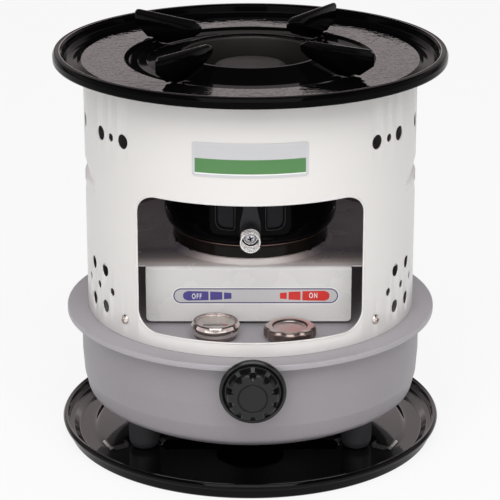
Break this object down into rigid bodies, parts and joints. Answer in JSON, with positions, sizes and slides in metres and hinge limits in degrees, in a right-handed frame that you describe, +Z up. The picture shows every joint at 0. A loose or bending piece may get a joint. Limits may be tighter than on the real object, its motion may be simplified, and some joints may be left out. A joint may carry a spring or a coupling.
{
  "type": "kerosene wick stove",
  "caption": "Round kerosene wick stove on a drip tray, with a windowed drum, a knob that raises the wick, a lift-off chimney and pan supports.",
  "frame": {"origin": "centre of the drip tray's underside, on the stove's axis", "axes": "+Z up along the stove's axis, -Y towards the knob and the drum's window, +X to the right seen from the front"},
  "size_m": [0.3304, 0.3424, 0.3555],
  "materials": {
    "black_enamel": "gloss vitreous enamel",
    "dark_steel": "oiled dark steel",
    "grey_paint": "satin grey paint",
    "pale_steel": "satin zinc plate",
    "pale_paint": "satin light grey paint",
    "white_paint": "semi gloss off-white paint",
    "chrome": "polished",
    "label_metal": "satin foil with a green lower band",
    "brass": "plain",
    "glass": "clear",
    "mica": "thin smoky sheet",
    "dial_white": "matt white",
    "pointer_red": "satin red",
    "black_plastic": "fine grained black",
    "wick_cloth": "woven glass fibre",
    "rubber": "soft",
    "cork": "cork"
  },
  "bodies": {
    "tray": {"drip_tray": "black_enamel"},
    "stove": {"foot_1": "dark_steel", "foot_2": "dark_steel", "foot_3": "dark_steel", "tank_shell": "grey_paint", "tank_top": "grey_paint", "air_tube": "dark_steel", "throat_tube": "dark_steel", "deck_plate": "pale_paint", "burner_base": "black_enamel", "drum": "white_paint", "drum_bracket_1": "pale_steel", "drum_bracket_2": "pale_steel", "drum_bracket_3": "pale_steel", "drum_bracket_4": "pale_steel", "drum_screw_1": "chrome", "drum_screw_2": "chrome", "drum_screw_3": "chrome", "drum_screw_4": "chrome", "label_plate": "label_metal", "filler_neck": "chrome", "shaft_gland": "brass", "gauge_bezel": "chrome", "gauge_glass": "glass", "gauge_dial": "dial_white"},
    "knob": {"knob": "black_plastic", "knob_shaft": "dark_steel", "pinion": "brass"},
    "wick_lift": {"wick": "wick_cloth", "wick_carrier": "brass", "rack": "brass"},
    "float": {"float_arm": "brass", "float": "cork", "gauge_flag": "pointer_red"},
    "cap_seal": {"cap_gasket": "rubber"},
    "cap": {"filler_cap": "chrome"},
    "chimney": {"chimney_casing": "black_enamel", "outer_flame_tube": "dark_steel", "inner_flame_tube": "dark_steel", "flame_spreader": "dark_steel", "cross_pin": "dark_steel", "mica_pane_left": "mica", "mica_pane_right": "mica", "handle_bracket": "black_enamel", "handle_washer": "chrome", "handle_screw": "chrome", "handle_coil": "chrome"},
    "top": {"top_plate": "black_enamel", "flue_sleeve": "dark_steel", "pan_support_1": "black_enamel", "pan_support_2": "black_enamel", "pan_support_3": "black_enamel", "pan_support_4": "black_enamel"}
  },
  "joints": [
    {"name": "stove_lift", "type": "slide", "parent": "tray", "child": "stove", "axis": [0, 0, 1], "range_m": [0, 0.05]},
    {"name": "knob_turn", "type": "hinge", "parent": "stove", "child": "knob", "pos_m": [0.002, -0.1593, 0.0962], "axis": [0, 1, 0], "range_deg": [0, 114.59]},
    {"name": "wick_lift", "type": "slide", "parent": "stove", "child": "wick_lift", "axis": [0, 0, 1], "range_m": [0, 0.012]},
    {"name": "float_swing", "type": "hinge", "parent": "stove", "child": "float", "pos_m": [-0.0286, -0.103, 0.107], "axis": [0, 1, 0], "range_deg": [-43, 7]},
    {"name": "cap_lift", "type": "slide", "parent": "stove", "child": "cap_seal", "axis": [0, 0, 1], "range_m": [0, 0.025]},
    {"name": "cap_turn", "type": "hinge", "parent": "cap_seal", "child": "cap", "pos_m": [0.0326, -0.104, 0.1219], "axis": [0, 0, 1], "range_deg": [0, 90]},
    {"name": "chimney_lift", "type": "slide", "parent": "stove", "child": "chimney", "axis": [0, 0, 1], "range_m": [0, 0.024]},
    {"name": "top_lift", "type": "slide", "parent": "stove", "child": "top", "axis": [0, 0, 1], "range_m": [0, 0.06]}
  ],
  "couplings": [
    {"joint": "wick_lift", "follows": "knob_turn", "m_per_rad": 0.006}
  ]
}
